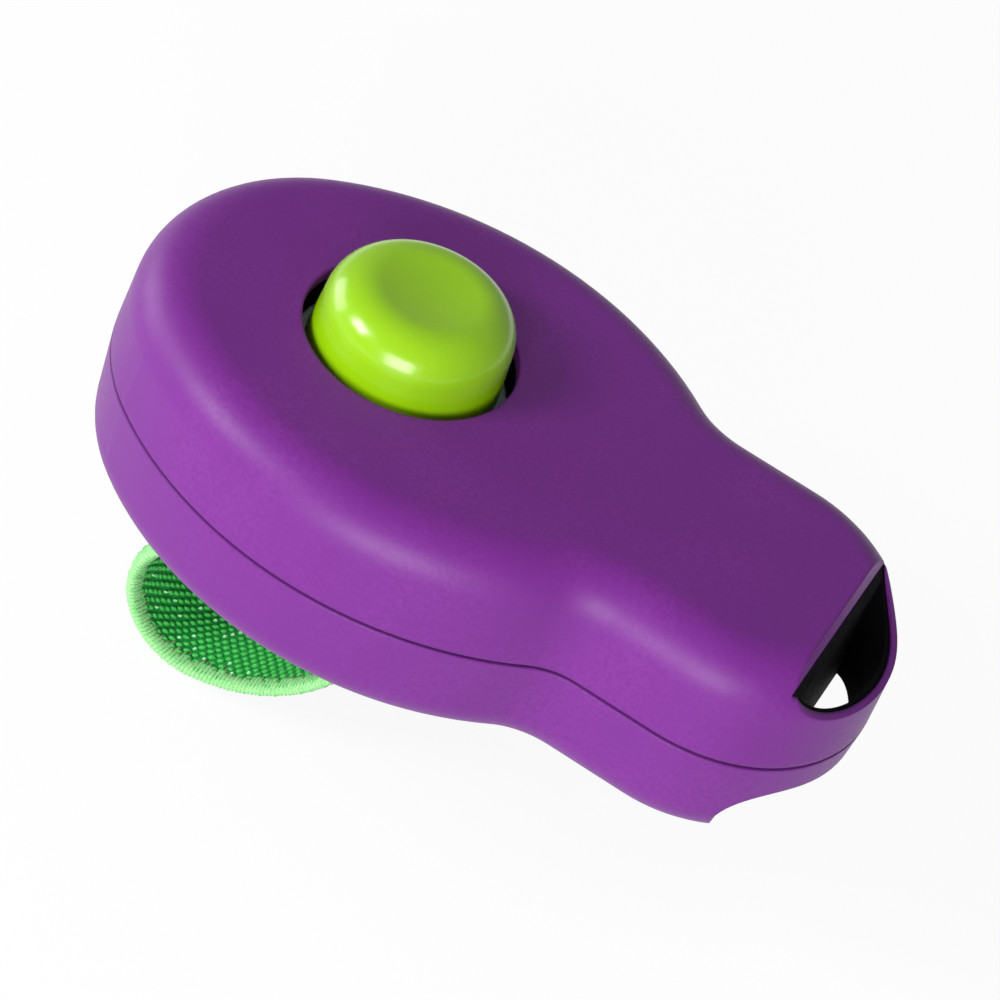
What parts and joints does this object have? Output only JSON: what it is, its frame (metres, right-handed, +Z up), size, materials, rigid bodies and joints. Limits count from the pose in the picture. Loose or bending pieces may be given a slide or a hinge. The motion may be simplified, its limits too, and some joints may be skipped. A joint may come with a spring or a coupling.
{
  "type": "clicker trainer",
  "caption": "Finger-worn training clicker: pear-shaped two-part housing, raised round thumb button over a spring plate, elastic finger loop and lanyard tunnel.",
  "frame": {"origin": "on the flat base, on the symmetry plane, half way along the body", "axes": "+X towards the nose with the lanyard tunnel, +Z up through the thumb button, +Y across the body"},
  "size_m": [0.066, 0.0404, 0.0399],
  "materials": {
    "housing": "satin moulded purple plastic",
    "button": "glossy lime green plastic",
    "black_moulding": "black moulded plastic",
    "spring_steel": "blued spring steel strip",
    "screw_steel": "plain steel",
    "elastic": "green woven elastic"
  },
  "bodies": {
    "housing": {"upper_shell": "housing", "lower_shell": "housing", "guide_ring": "black_moulding", "click_frame": "black_moulding", "plate_retainer": "black_moulding", "retainer_screws": "screw_steel", "frame_screws": "screw_steel", "housing_screws": "screw_steel", "nose_liner": "black_moulding", "finger_band": "elastic", "band_bar_rear": "screw_steel", "band_bar_front": "screw_steel"},
    "button": {"thumb_button": "button", "button_core": "black_moulding"},
    "plate": {"click_plate": "spring_steel"}
  },
  "joints": [
    {"name": "button_press", "type": "slide", "parent": "housing", "child": "button", "axis": [0, 0, -1], "range_m": [0, 0.0015], "stiffness_N_per_m": 1500, "springref_m": -0.0005},
    {"name": "click_plate_flex", "type": "hinge", "parent": "housing", "child": "plate", "pos_m": [0.004, 0, 0.0145], "axis": [0, -1, 0], "range_deg": [0, 5.7]}
  ],
  "couplings": [
    {"joint": "click_plate_flex", "follows": "button_press", "rad_per_m": 65.617}
  ]
}
